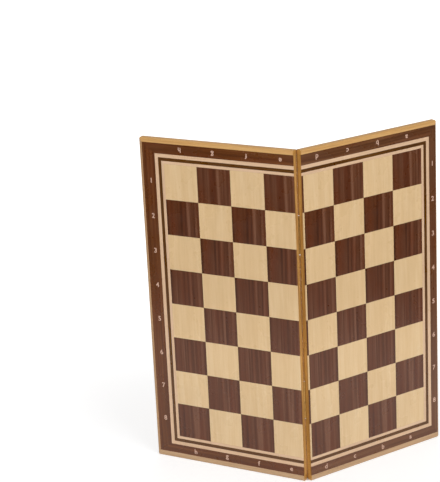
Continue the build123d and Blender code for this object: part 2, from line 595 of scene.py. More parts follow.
@dataclass(frozen=True)
class Wood:
    """A wood: the tones of its figure and the size of its streaks, in millimetres.

    Attributes:
        tones: Its colours from the dark figure to the pale.
        streak: The width of a streak.
        length: The length of a streak.
        contrast: How strongly streaks differ.
        pores: How much darker a pore is.
        flecks: How much darker a fleck is.
        blush: A second colour that the wood has in soft patches.
        end_grain: The colour of its sawn ends.
        lacquer: What it is finished with.
    """

    tones: Stops
    streak: float
    length: float
    contrast: float = 1.0
    pores: float = 0.0
    flecks: float = 0.0
    blush: Rgb | None = None
    end_grain: Rgb | None = None
    lacquer: Lacquer = Lacquer()

    def figure(self, spot: Spot, sheet: Socket | float) -> Socket:
        """Streaks along the grain, from 0 in the dark wood to 1 in the pale.

        The sum of the figure's layers: streaks, finer lines a sixth as wide and hairlines a
        twentieth as wide, over a slow sideways drift of the grain.

        Args:
            spot: Where it is worked out.
            sheet: Which sheet of veneer it is cut from.

        Returns:
            The figure.
        """
        drift = (spot.noise(DRIFT, sheet) - 0.5) * (DRIFT_STREAKS * self.streak)
        bent = replace(spot, across=spot.across + drift)
        mixed: Socket | float = 0.0
        for layer in FIGURE:
            wide, long = self.streak / layer.finer, self.length / layer.shorter
            noise = bent.noise(Pattern(wide, long, layer.detail, layer.seed), sheet)
            mixed = mixed + noise * layer.weight
        reach = FIGURE_SPREAD / self.contrast
        return mixed.rise(0.5 - reach, 0.5 + reach)

    def dress(
        self,
        spot: Spot,
        sheet: Socket | float = 0.0,
        extra: Socket | float = 0.0,
        seams: Socket | None = None,
        ends: Socket | None = None,
    ) -> None:
        """Finish the spot's recipe as this wood under its lacquer.

        Args:
            spot: Where it is worked out.
            sheet: Which sheet of veneer it is cut from.
            extra: What is added to the figure: paler streaks, and painted light where a finish adds it.
            seams: 1 in the joint lines between pieces, 0 off them.
            ends: 1 on the sawn ends, which show end grain, 0 off them.
        """
        recipe = spot.recipe
        figure = self.figure(spot, sheet) + extra
        pores = spot.mask(PORES)
        colour = recipe.ramp(figure, self.tones)
        if self.blush:
            blushing = spot.mask(BLUSHES, 0.0, BLUSH_SHARE, sheet)
            colour = recipe.blend(blushing, colour, srgb(self.blush))
        if ends is not None and self.end_grain:
            colour = recipe.blend(ends, colour, srgb(self.end_grain))
        shade = 1.0 - pores * self.pores
        if self.flecks:
            shade = shade - spot.mask(FLECKS) * self.flecks
        height = self.lacquer.relief(pores, figure, spot.noise(DENTS))
        if seams is not None:
            shade = shade - seams * SEAM_SHADE
            height = height - seams
        shade = shade * spot.mask(CLOUDS, 1.0 - CLOUD_SHADE, 1.0 + CLOUD_SHADE)
        smears = spot.mask(SMEARS, -self.lacquer.smears, self.lacquer.smears)
        recipe.finish(
            recipe.scaled(colour, shade),
            smears + self.lacquer.roughness,
            height,
            self.lacquer.depth,
            self.lacquer.constants(),
        )


class Finish(ABC):
    """A finish, which makes the material of one piece."""

    def material(self, name: str, leaf: LeafFrame) -> bpy.types.Material:
        """Make the material.

        Args:
            name: Its name.
            leaf: The leaf that the piece is on.

        Returns:
            The material.
        """
        recipe, made = Recipe.material(name)
        self.fill(recipe, leaf)
        return made

    @abstractmethod
    def fill(self, recipe: Recipe, leaf: LeafFrame) -> None:
        """Add the finish's nodes to an empty recipe, for a piece on one leaf."""


@dataclass(frozen=True)
class PlainWoodFinish(Finish):
    """One wood over a whole piece, with its grain one way.

    Attributes:
        wood: The wood.
        grain: The way its grain runs.
        sheet: Which sheet it is cut from.
        paler_back: How much paler its figure is at the underside than at the playing face, as painted light that
            lifts the shade deep in the fold.
        paler_foot: How much paler it is at the table than at the top, as painted light of the white table.
        sawn: The distances from the hinge pins over which end grain ends, in millimetres.
    """

    wood: Wood
    grain: Grain
    sheet: float = 0.0
    paler_back: float = 0.0
    paler_foot: float = 0.0
    sawn: tuple[float, float] = (0.1, 0.5)

    def fill(self, recipe: Recipe, leaf: LeafFrame) -> None:
        """Dress the wood, paler at back and foot by painted light, with end grain where sawn.

        Args:
            recipe: Where the nodes go.
            leaf: The leaf that the piece is on.
        """
        x, y, z = leaf.coordinates(recipe)
        low, high = leaf.box("top_band")
        extra: Socket | float = 0.0
        # Painted light: paler towards the underside, lifting the shade deep in the fold.
        if self.paler_back:
            extra = y.rise(low[1], 0.0, -self.paler_back / 2, self.paler_back / 2)
        # Painted light: paler towards the table, for the white table's light on it.
        if self.paler_foot:
            extra = extra + z.rise(0.0, high[2], self.paler_foot / 2, -self.paler_foot / 2)
        ends = x.size().rise(*self.sawn, 1.0, 0.0) if self.wood.end_grain else None
        spot = Spot.with_grain(recipe, x, y, z, self.grain)
        self.wood.dress(spot, self.sheet, extra, ends=ends)


@dataclass(frozen=True)
class LineFinish(Finish):
    """Stringing of one wood whose three strips meet in mitres at the corners of the squares."""

    wood: Wood
    sheet: float = 0.0
    upright_sheet: float = 5.0

    def fill(self, recipe: Recipe, leaf: LeafFrame) -> None:
        """Dress the wood with its grain along each strip.

        A point is on the outer strip where it is further out sideways than it is above or below
        the squares, which is the line of a 45 degree mitre.

        Args:
            recipe: Where the nodes go.
            leaf: The leaf that the piece is on.
        """
        chequer = Chequer.read(leaf)
        x, y, z = leaf.coordinates(recipe)
        half = RANKS / 2 * chequer.square
        sideways = (x - chequer.outer) * leaf.outward
        beyond = (z - (chequer.top - half)).size() - half
        upright = sideways.above(beyond)
        spot = Spot(recipe, z + (x - z) * upright, y, x + (z - x) * upright)
        self.wood.dress(spot, upright * self.upright_sheet + self.sheet)


@dataclass(frozen=True)
class SquareFinish(Finish):
    """Veneer squares, each cut from the next length of a sheet, so that their figures are alike.

    Attributes:
        wood: The squares' wood.
        streaks: The place, half width and strength of each pale streak, in shares of a square.
        wander: How far the streaks move from square to square and along the grain.
        apart: How far apart files, and squares, stand in the noise that moves the streaks.
        sway: That noise.
        variety: How far apart the squares stand in the wood's own noise.
        tone: How much paler one square may be than another.
        lift: How much paler a square is at its right than at its left.
        paler_foot: How much paler it is at the table, as painted light of the white table.
        foot_ranks: How many ranks up that painted light reaches.
        seam: The width of the joint line along a square's side, in millimetres.
    """

    wood: Wood
    streaks: tuple[tuple[float, float, float], ...] = ()
    wander: float = 0.05
    apart: tuple[float, float] = (3.7, 9.0)
    sway: Pattern = Pattern(1.0, 120.0, 1.0, 5.0)
    variety: float = 0.35
    tone: float = 0.12
    lift: float = 0.0
    paler_foot: float = 0.0
    foot_ranks: int = 6
    seam: float = 0.22

    def fill(self, recipe: Recipe, leaf: LeafFrame) -> None:
        """Dress the wood square by square.

        Each square has a place in it from 0 to 1, left to right. Pale streaks stand at set places
        there, moved a little from square to square and along the grain.

        Args:
            recipe: Where the nodes go.
            leaf: The leaf that the piece is on.
        """
        chequer = Chequer.read(leaf)
        x, y, z = leaf.coordinates(recipe)
        files = (x - chequer.start) / chequer.square
        ranks = (chequer.top - z) / chequer.square
        place = files.fraction()
        luck = recipe.chance(files.floor(), ranks.floor(), 1.0)
        slow = Spot(recipe, files.floor() * self.apart[0], luck * self.apart[1], z).noise(self.sway)
        moved = place + (luck - 0.5) * self.wander + (slow - 0.5) * (2 * self.wander)
        extra = (place - 0.5) * self.lift + (luck - 0.5) * self.tone
        # Painted light: the squares near the table paler, for the white table's light on them.
        if self.paler_foot:
            foot = self.foot_ranks * chequer.square
            extra = extra + z.rise(0.0, foot, self.paler_foot, 0.0)
        for centre, width, strength in self.streaks:
            extra = extra + (moved - centre).size().rise(0.0, width, strength, 0.0)
        edge = place.least(1.0 - place).least(ranks.fraction()).least(1.0 - ranks.fraction())
        seams = (edge * chequer.square).rise(0.0, self.seam, 1.0, 0.0)
        spot = Spot(recipe, place * chequer.square, y, z)
        self.wood.dress(spot, luck * self.variety, extra, seams)


@dataclass(frozen=True)
class BrassFinish(Finish):
    """Brass with the marks of its making: fine lines one way, and a little tarnish.

    Attributes:
        colour: Clean brass.
        tarnish: Tarnished brass.
        grain: The way the lines run.
        roughness: Its roughness.
        line: The width of a line, in millimetres.
        line_length: Its length.
        line_roughness: How far the lines change the roughness.
        tarnished: How much of the tarnish a cloud, or a speck, brings.
        tarnish_roughness: How much rougher full tarnish is.
        clouds: Where the tarnish clouds are.
        specks: Where its specks are.
        pitted: How deep a speck is beside a line.
        depth: The depth of the lines, in millimetres.
    """

    colour: Rgb
    tarnish: Rgb
    grain: Grain
    roughness: float = 0.3
    line: float = 0.12
    line_length: float = 12.0
    line_roughness: float = 0.07
    tarnished: float = 0.4
    tarnish_roughness: float = 0.15
    clouds: Pattern = Pattern(4.0, 4.0, 3.0, 8.0, (0.45, 0.7))
    specks: Pattern = Pattern(0.5, 0.5, 1.0, 9.0, (0.68, 0.74))
    pitted: float = 0.5
    depth: float = 0.006

    def fill(self, recipe: Recipe, leaf: LeafFrame) -> None:
        """Lay clouds and specks of tarnish over brushed metal.

        Args:
            recipe: Where the nodes go.
            leaf: The leaf that the piece is on.
        """
        x, y, z = leaf.coordinates(recipe)
        brushed = Pattern(self.line, self.line_length, 2.0, 2.0)
        lines = Spot.with_grain(recipe, x, y, z, self.grain).noise(brushed)
        spot = Spot(recipe, x, y, z)
        specks = spot.mask(self.specks)
        dull = (spot.mask(self.clouds) + specks) * self.tarnished
        colour = recipe.blend(dull, srgb(self.colour), srgb(self.tarnish))
        uneven = lines.rise(*brushed.span, -self.line_roughness, self.line_roughness)
        roughness = uneven + dull * self.tarnish_roughness + self.roughness
        height = lines - specks * self.pitted
        recipe.finish(colour, roughness, height, self.depth, {"Metallic": 1.0})


@dataclass(frozen=True)
class FeltFinish(Finish):
    """Wool felt: matted fibres with a soft sheen.

    Attributes:
        colour: The felt's colour.
        pale: Its fibres on top.
        dark: The hollows between them, as painted shade.
        bends: The noise that bends the fibres.
        curl: How far it bends them, in millimetres.
        fibres: The upright fibres.
        crossing_seed: Which of the noise's patterns the level fibres are.
        clumps: The soft clumps under them.
        span: The heights between which the colours run.
        roughness: The least and the greatest roughness.
        depth: The depth of the fibres, in millimetres.
    """

    colour: Rgb = (58, 92, 62)
    pale: Rgb = (96, 126, 92)
    dark: Rgb = (36, 62, 42)
    bends: Pattern = Pattern(1.5, 1.5, 2.0, 1.0)
    curl: float = 2.0
    fibres: Pattern = Pattern(0.14, 1.1, 2.0, 3.0)
    crossing_seed: float = 4.0
    clumps: Pattern = Pattern(0.9, 0.9, 3.0, 6.0)
    span: tuple[float, float] = (0.35, 0.72)
    roughness: tuple[float, float] = (0.88, 0.98)
    depth: float = 0.25

    def fill(self, recipe: Recipe, leaf: LeafFrame) -> None:
        """Lay two crossing sets of bent fibres over soft clumps.

        Args:
            recipe: Where the nodes go.
            leaf: The leaf that the piece is on.
        """
        x, y, z = leaf.coordinates(recipe)
        spot = Spot(recipe, x, y, z)
        bend = (spot.noise(self.bends) - 0.5) * self.curl
        upright = replace(spot, across=x + bend).noise(self.fibres)
        wide, long = self.fibres.wide, self.fibres.long
        crossed = recipe.vector(x / long, y / wide, (z + bend) / wide)
        fibre = upright.most(recipe.noise(crossed, self.fibres.detail, self.crossing_seed))
        clumps = spot.noise(self.clumps)
        # Painted shade: the colour follows the height of fibres and clumps, darkest in the hollows.
        stops = ((0.25, self.dark), (0.5, self.colour), (0.8, self.pale))
        colour = recipe.ramp((fibre * 0.6 + clumps * 0.4).rise(*self.span), stops)
        roughness = clumps.rise(*self.clumps.span, *self.roughness)
        sheen = {"Sheen Weight": 0.4, "Sheen Roughness": 0.5, "Specular IOR Level": 0.2}
        recipe.finish(colour, roughness, fibre * 0.5 + clumps, self.depth, sheen)


@dataclass(frozen=True)
class InkFinish(Finish):
    """Printed marks: thin pale ink, a little worn.

    Attributes:
        colour: The ink.
        worn: The ink where it is worn thin.
        wear: Where it is worn.
        roughness: The roughness of the ink, and where it is worn.
        rough_span: The values of the wear between which that runs.
        depth: The depth of the wear, in millimetres.
    """

    colour: Rgb = (208, 170, 148)
    worn: Rgb = (160, 118, 96)
    wear: Pattern = Pattern(0.6, 0.9, 3.0, 5.0, (0.55, 0.75))
    roughness: tuple[float, float] = (0.38, 0.55)
    rough_span: tuple[float, float] = (0.3, 0.7)
    depth: float = 0.01

    def fill(self, recipe: Recipe, leaf: LeafFrame) -> None:
        """Lay the ink, with worn specks where it is thin.

        Args:
            recipe: Where the nodes go.
            leaf: The leaf that the piece is on.
        """
        wear = Spot(recipe, *leaf.coordinates(recipe)).noise(self.wear)
        colour = recipe.blend(wear.rise(*self.wear.span), srgb(self.colour), srgb(self.worn))
        roughness = wear.rise(*self.rough_span, *self.roughness)
        recipe.finish(colour, roughness, wear, self.depth)


PALE_SQUARE = Wood(
    tones=((0.0, (210, 176, 128)), (0.5, (217, 184, 138)), (1.0, (224, 194, 151))),
    streak=5.0,
    length=70.0,
    contrast=0.8,
    pores=0.04,
    flecks=0.05,
)
DARK_SQUARE = Wood(
    tones=(
        (0.0, (64, 29, 9)),
        (0.3, (77, 38, 16)),
        (0.55, (87, 46, 22)),
        (0.8, (100, 58, 35)),
        (1.0, (118, 77, 55)),
    ),
    streak=3.6,
    length=220.0,
    contrast=1.1,
    pores=0.2,
    blush=(98, 46, 18),
)
BAND = Wood(
    tones=(
        (0.0, (75, 36, 8)),
        (0.35, (89, 46, 13)),
        (0.65, (105, 58, 22)),
        (1.0, (123, 75, 38)),
    ),
    streak=3.0,
    length=160.0,
    contrast=0.9,
    pores=0.2,
    blush=(96, 45, 14),
)
# Painted sheen: the right leaf's band as a paler, greyer copy of BAND, for the floor mirrored in its lacquer.
SHEENED_BAND = replace(
    BAND,
    tones=(
        (0.0, (77, 43, 21)),
        (0.35, (92, 54, 28)),
        (0.65, (108, 67, 39)),
        (1.0, (126, 85, 55)),
    ),
    blush=(99, 52, 28),
)
PALE_LINE = Wood(
    tones=((0.0, (203, 166, 130)), (0.5, (215, 179, 145)), (1.0, (224, 192, 160))),
    streak=1.6,
    length=60.0,
    contrast=0.7,
    pores=0.05,
)
DARK_LINE = Wood(
    tones=((0.0, (66, 35, 2)), (0.5, (88, 50, 3)), (1.0, (108, 68, 14))),
    streak=1.4,
    length=60.0,
    contrast=0.8,
    pores=0.2,
)
LIPPING = Wood(
    tones=((0.0, (185, 135, 75)), (0.5, (203, 155, 93)), (1.0, (216, 172, 110))),
    streak=2.4,
    length=90.0,
    contrast=0.8,
    pores=0.06,
    flecks=0.12,
    end_grain=(189, 140, 72),
    lacquer=Lacquer(roughness=0.42, gloss=0.35),
)
# Painted shade and sheen: the outer lipping as a darker, greyer copy of LIPPING, for the shade and whitish sheen
# on its rounded edge.
SHADED_SHEENED_SIDE_LIPPING = replace(
    LIPPING, tones=((0.0, (158, 120, 84)), (0.5, (178, 140, 102)), (1.0, (194, 158, 120)))
)
# Painted shade and sheen: the bottom lipping as a darker, greyer copy of LIPPING, for the shade near the table and
# the table's sheen on it.
SHADED_SHEENED_FOOT_LIPPING = replace(
    LIPPING, tones=((0.0, (171, 133, 96)), (0.5, (189, 154, 117)), (1.0, (203, 170, 135)))
)
CORE = Wood(
    tones=(
        (0.0, (149, 102, 44)),
        (0.45, (177, 129, 62)),
        (0.75, (193, 146, 76)),
        (1.0, (209, 164, 94)),
    ),
    streak=2.6,
    length=60.0,
    pores=0.15,
    flecks=0.1,
    lacquer=Lacquer(roughness=0.6, gloss=0.3, depth=0.08),
)
# Painted light: the left leaf's core as a paler copy of CORE, for its fold wall, which the front right lamp lights
# more.
LIT_CORE = replace(
    CORE,
    tones=(
        (0.0, (160, 113, 55)),
        (0.45, (193, 146, 80)),
        (0.75, (210, 164, 97)),
        (1.0, (224, 182, 118)),
    ),
)
BACKING = Wood(
    tones=((0.0, (176, 128, 78)), (0.5, (194, 148, 96)), (1.0, (208, 166, 114))),
    streak=7.0,
    length=160.0,
    contrast=0.9,
    pores=0.08,
    flecks=0.14,
)


@dataclass
class Leaf:
    """One leaf of the board: panel, veneers, stringing and lipping, as the frame gives them.

    Attributes:
        place: Where the leaf stands.
        figure_streaks: The dark squares' pale streaks, as a square's finish takes them.
        core_back: How much paler the core is at the underside, as painted light that lifts the shade deep in the
            fold.
        core_foot: How much paler it is at the table, as painted light of the white table.
    """

    place: LeafFrame
    figure_streaks: tuple[tuple[float, float, float], ...] = (
        (0.38, 0.06, 0.28),
        (0.64, 0.06, 0.4),
        (0.86, 0.05, 0.22),
    )
    core_back: float = 0.25
    core_foot: float = 0.12

    def finishes(self) -> dict[str, Finish]:
        """List the finishes.

        Returns:
            Each node's finish, by the node's name without its side.
        """
        # The left core is a copy of CORE in painted light, and the right band is a copy of BAND with a painted
        # sheen.
        core, band = (LIT_CORE, BAND) if self.place.side is Side.LEFT else (CORE, SHEENED_BAND)
        return {
            "core": PlainWoodFinish(core, Grain.UP, 0.0, self.core_back, self.core_foot),
            "backing_veneer": PlainWoodFinish(BACKING, Grain.UP, 3.0),
            "top_lipping": PlainWoodFinish(LIPPING, Grain.ACROSS, 1.0),
            # The outer and bottom lippings are copies of LIPPING in painted shade and sheen.
            "outer_lipping": PlainWoodFinish(SHADED_SHEENED_SIDE_LIPPING, Grain.UP, 2.0),
            "bottom_lipping": PlainWoodFinish(SHADED_SHEENED_FOOT_LIPPING, Grain.ACROSS, 4.0),
            "dark_squares": SquareFinish(DARK_SQUARE, self.figure_streaks, lift=0.2),
            # The pale squares are paler near the table by painted light.
            "pale_squares": SquareFinish(PALE_SQUARE, variety=2.0, paler_foot=0.28),
            "inner_stringing": LineFinish(PALE_LINE, 1.0),
            "dark_stringing": LineFinish(DARK_LINE, 2.0),
            "outer_stringing": LineFinish(PALE_LINE, 3.0),
            "top_band": PlainWoodFinish(band, Grain.ACROSS, 1.0),
            "outer_band": PlainWoodFinish(band, Grain.UP, 2.0),
            "bottom_band": PlainWoodFinish(band, Grain.ACROSS, 3.0),
        }

    def dress(self) -> None:
        """Give every wooden node of the leaf its material."""
        for part, finish in self.finishes().items():
            paint(f"{self.place.side.value}_{part}", finish, self.place)


@dataclass
class Hinges:
    """Both brass butt hinges: each leaf's plates and screws, and the pins on the left one."""

    places: tuple[LeafFrame, LeafFrame]
    plate: BrassFinish = BrassFinish((222, 182, 112), (188, 148, 90), Grain.UP, 0.44)
    pin: BrassFinish = BrassFinish((226, 190, 122), (190, 150, 94), Grain.UP, 0.36, 0.3)
    screw: BrassFinish = BrassFinish((230, 194, 124), (176, 136, 82), Grain.ACROSS, 0.34, 0.1)

    def dress(self) -> None:
        """Give plates, screws and pins their brass."""
        for leaf in self.places:
            for height in ("upper", "lower"):
                paint(f"{leaf.side.value}_{height}_hinge_plate", self.plate, leaf)
                paint(f"{leaf.side.value}_{height}_hinge_screws", self.screw, leaf)
        for height in ("upper", "lower"):
            paint(f"{height}_hinge_pin", self.pin, self.places[0])


@dataclass
class EdgeMarks:
    """The letters and numbers in the band round the squares, for writing moves down.

    Attributes:
        place: Where the leaf stands.
        letters: The files' letters on each leaf, from the left.
        size: The size of the lettering, in millimetres.
        ink: Its thickness, half of it in the veneer.
        weight: How much bolder its strokes are, in millimetres.
        arc_steps: How finely its curves are cut.
        finish: Its ink.
        towards_squares: How far the numbers stand in from the middle of the band.
    """

    place: LeafFrame
    letters: dict[Side, str] = field(
        default_factory=lambda: {Side.LEFT: "hgfe", Side.RIGHT: "dcba"}
    )
    size: float = 8.2
    ink: float = 0.04
    weight: float = 0.16
    arc_steps: int = 4
    finish: InkFinish = InkFinish()
    towards_squares: dict[Side, float] = field(
        default_factory=lambda: {Side.LEFT: 1.6, Side.RIGHT: 0.0}
    )

    def glyph(self, mark: str) -> tuple[np.ndarray, list[tuple[int, ...]]]:
        """Make one mark as a thin solid, lying in x and y with its middle at the origin.

        Args:
            mark: A letter or digit.

        Returns:
            Its points, in millimetres, and its faces.
        """
        curve = bpy.data.curves.new("mark", "FONT")
        curve.body = mark
        curve.size = self.size
        curve.extrude = self.ink / 2
        curve.offset = self.weight
        curve.resolution_u = self.arc_steps
        holder = bpy.data.objects.new("mark", curve)
        mesh = bpy.data.meshes.new_from_object(holder)
        points = np.empty(len(mesh.vertices) * 3, dtype=np.float32)
        mesh.vertices.foreach_get("co", points)
        points = points.reshape(-1, 3).astype(float)
        middle = (points.min(axis=0) + points.max(axis=0)) / 2
        faces = [tuple(face.vertices) for face in mesh.polygons]
        bpy.data.objects.remove(holder)
        bpy.data.curves.remove(curve)
        bpy.data.meshes.remove(mesh)
        return points - middle, faces

    def places(self) -> list[tuple[str, float, float, float]]:
        """List the marks.

        Returns:
            Every mark with its x and z on the open board, and 1, or -1 if it is upside down.
        """
        chequer = Chequer.read(self.place)
        side = self.place.side
        heights = {}
        for band in ("top_band", "bottom_band"):
            low, high = self.place.box(band)
            heights[band] = (low[2] + high[2]) / 2
        low, high = self.place.box("outer_band")
        inner = self.place.box("outer_stringing")
        edge = inner[0][0] if side is Side.LEFT else inner[1][0]
        outer = low[0] if side is Side.LEFT else high[0]
        column = (edge + outer) / 2 - self.place.outward * self.towards_squares[side]
        listed = []
        for letter, x in zip(self.letters[side], chequer.files):
            listed.append((letter, x, heights["top_band"], -1.0))
            listed.append((letter, x, heights["bottom_band"], 1.0))
        for number, z in enumerate(chequer.ranks, start=1):
            listed.append((str(number), column, z, 1.0))
        return listed

    def build(self) -> bpy.types.Object:
        """Lay every mark on the face: its x along the board, its y up, its back in the veneer.

        Returns:
            The marks as one piece.
        """
        face = self.place.box("top_band")[0][1]
        points: list[np.ndarray] = []
        faces: list[tuple[int, ...]] = []
        count = 0
        for mark, x, z, way in self.places():
            shape, shape_faces = self.glyph(mark)
            along, up, out = shape.T
            laid = np.column_stack([x + way * along, face - out, z + way * up])
            points.append(laid)
            faces.extend(tuple(count + index for index in corners) for corners in shape_faces)
            count += len(laid)
        return new_piece(
            f"{self.place.side.value}_edge_marks", self.place.to_row(np.vstack(points)), faces
        )

    def dress(self, piece: bpy.types.Object) -> None:
        """Ink the marks and fix them to the leaf.

        Args:
            piece: The marks.
        """
        piece.data.materials.append(self.finish.material(piece.name, self.place))
        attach(piece, self.place.body)


@dataclass
class FeltPads:
    """The felt pads of one leaf, pressed soft at the rim, in millimetres.

    Attributes:
        place: Where the leaf stands.
        finish: The felt.
        bulge: How far the rim runs in from its foot to the top.
        fullness: The power of the sine that shapes the rim, fuller where it is smaller.
        crown: How much lower the top is at the rim than in the middle.
        fuzz: How far the ripples move the rim.
        matting: How uneven the top is.
        around: How many points a ring has.
        rim_steps: How many rings the rim has.
        top_steps: How many steps the top is cut in.
        waves: The least, the end and the step of the number of ripples round the rim.
        seed: The seed of their phases.
    """

    place: LeafFrame
    finish: FeltFinish = FeltFinish()
    bulge: float = 0.55
    fullness: float = 0.6
    crown: float = 0.25
    fuzz: float = 0.09
    matting: float = 0.04
    around: int = 96
    rim_steps: int = 14
    top_steps: int = 20
    waves: tuple[int, int, int] = (5, 41, 3)
    seed: int = 5

    def pad(self, x: float, z: float, radius: float, low: float, high: float) -> np.ndarray:
        """Points of one pad as a (profile, angle) grid, in open-board millimetres.

        The profile runs from the rim's foot over a bulging rim, whose height is a power of the
        sine of the turn that it has made, and in over a shallow crown to the middle. Waves of
        random phase round the pad move the rim in and out, and the product of two slanting waves
        makes the top uneven.

        Args:
            x: Middle of the pad.
            z: Middle of the pad.
            radius: Its radius.
            low: Where it is glued to the leaf.
            high: Its free face.

        Returns:
            Points of shape (profile, angle, 3).
        """
        random = np.random.default_rng(self.seed)
        angle = np.linspace(0.0, 2 * np.pi, self.around, endpoint=False)[None, :]
        rim = np.linspace(0.0, np.pi / 2, self.rim_steps)
        inward = np.linspace(0.0, 1.0, self.top_steps)[1:-1]
        thick = high - low
        rim_reach = radius - self.bulge * (1 - np.cos(rim))
        reach = np.concatenate([rim_reach, (radius - self.bulge) * (1 - inward)])
        rise = np.concatenate([thick * np.sin(rim) ** self.fullness, np.full_like(inward, thick)])
        rise = rise - self.crown * (reach / radius) ** 2 * (rise / thick)
        waves = np.arange(*self.waves)[:, None]
        phases = random.uniform(0, 2 * np.pi, (len(waves), 1))
        ripple = (np.sin(waves * angle + phases) / np.sqrt(waves)).sum(axis=0)[None, :]
        twist = np.sin(3 * angle + reach[:, None] * 2.2) * np.cos(reach[:, None] * 1.4 - 2 * angle)
        spread = reach[:, None] - self.fuzz * (1 + ripple) * (reach[:, None] / radius) ** 6
        lifted = rise[:, None] + self.matting * (twist - 1) * (rise[:, None] / thick)
        wide = np.broadcast_to(spread, lifted.shape)
        return np.stack([x + wide * np.cos(angle), low + lifted, z + wide * np.sin(angle)], axis=2)

    def build(self) -> bpy.types.Object:
        """Make both pads, each closed with a fan at its middle and at its foot.

        Returns:
            The pads as one piece.
        """
        low, high = self.place.box("felt_pads")
        glued = self.place.box("backing_veneer")[1][1]
        radius = (high[0] - low[0]) / 2
        x = (low[0] + high[0]) / 2
        points: list[np.ndarray] = []
        faces: list[tuple[int, ...]] = []
        for z in (low[2] + radius, high[2] - radius):
            grid = self.pad(x, z, radius, glued, high[1])
            start = sum(len(part) for part in points)
            points.append(self.closed(grid))
            faces.extend(self.faces(len(grid), start))
        name = f"{self.place.side.value}_felt"
        return new_piece(name, self.place.to_row(np.vstack(points)), faces, smooth=True)

    def closed(self, grid: np.ndarray) -> np.ndarray:
        """Put the middles of the first and last rings after a grid's points."""
        return np.vstack([grid.reshape(-1, 3), grid[0].mean(axis=0), grid[-1].mean(axis=0)])

    def faces(self, rings: int, start: int) -> list[tuple[int, ...]]:
        """List the quads between the rings and the two fans, facing outwards.

        Args:
            rings: How many rings the pad has, from its foot to its middle.
            start: The place of the pad's first point.

        Returns:
            The faces, as places in the points.
        """
        ring, step = np.meshgrid(np.arange(rings - 1), np.arange(self.around), indexing="ij")
        after = (step + 1) % self.around
        here, there = ring * self.around, (ring + 1) * self.around
        quads = np.stack([here + step, there + step, there + after, here + after], axis=2)
        foot = start + rings * self.around
        turn = np.arange(self.around)
        following = (turn + 1) % self.around
        last = (rings - 1) * self.around
        under = np.column_stack([np.full_like(turn, foot), start + turn, start + following])
        over = np.column_stack(
            [np.full_like(turn, foot + 1), start + last + following, start + last + turn]
        )
        listed = (quads.reshape(-1, 4) + start).tolist() + under.tolist() + over.tolist()
        return [tuple(face) for face in listed]

    def dress(self, piece: bpy.types.Object) -> None:
        """Give the felt its fibres and fix it to the leaf in place of the plain pads.

        Args:
            piece: The pads.
        """
        piece.data.materials.append(self.finish.material(piece.name, self.place))
        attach(piece, self.place.body)
        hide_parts(f"{self.place.side.value}_felt_pads")


@dataclass(frozen=True)
class Lamp:
    """A square soft light that faces the board.

    Attributes:
        name: Its name.
        place: Where it stands, in metres.
        width: Its side, in metres.
        power: Its power, in watts.
    """

    name: str
    place: tuple[float, float, float]
    width: float
    power: float

    def build(self) -> None:
        """Add the light, turned from its place towards the middle of the board."""
        data = bpy.data.lights.new(self.name, "AREA")
        data.shape = "SQUARE"
        data.size = self.width
        data.energy = self.power
        lamp = bpy.data.objects.new(self.name, data)
        target = Vector((0.0, 0.0, 0.2))
        lamp.location = self.place
        lamp.rotation_euler = (target - lamp.location).to_track_quat("-Z", "Y").to_euler()
        bpy.context.scene.collection.objects.link(lamp)


@dataclass(frozen=True)
class Camera:
    """The photograph's viewpoint, solved from the corners of the squares.

    Angles are in degrees: the view is turned right of +Y by yaw, down by pitch, and the camera is
    tilted about its own line of sight by roll.

    Attributes:
        from_hinge: Its X and Y from the hinge pins, in metres.
        height: Its height over the table, in metres.
        yaw: Turn to the right.
        pitch: Turn down.
        roll: Tilt.
        focal_pixels: The focal length in pixels of the photograph.
        picture_height: The photograph's height in pixels.
        sensor: The sensor's height, in millimetres.
    """

    from_hinge: tuple[float, float] = (-0.15302, -1.81173)
    height: float = 0.88644
    yaw: float = 2.0287
    pitch: float = 17.9599
    roll: float = -2.8100
    focal_pixels: float = 1705.75
    picture_height: float = 482.0
    sensor: float = 36.0

    def build(self, hinge: tuple[float, float]) -> None:
        """Add the camera.

        Args:
            hinge: X and Y of the hinge pins.
        """
        yaw, pitch, roll = radians(self.yaw), radians(self.pitch), radians(self.roll)
        ahead = Vector((sin(yaw) * cos(pitch), cos(yaw) * cos(pitch), -sin(pitch)))
        level = Vector((cos(yaw), -sin(yaw), 0.0))
        above = level.cross(ahead)
        right = level * cos(roll) + above * sin(roll)
        up = above * cos(roll) - level * sin(roll)
        data = bpy.data.cameras.new("camera")
        data.sensor_fit = "AUTO"
        data.sensor_width = self.sensor
        data.lens = self.focal_pixels * self.sensor / self.picture_height
        camera = bpy.data.objects.new("camera", data)
        turn = Matrix((right, up, -ahead)).transposed().to_4x4()
        stand = (hinge[0] + self.from_hinge[0], hinge[1] + self.from_hinge[1], self.height)
        camera.matrix_world = Matrix.Translation(stand) @ turn
        bpy.context.scene.collection.objects.link(camera)
        bpy.context.scene.camera = camera


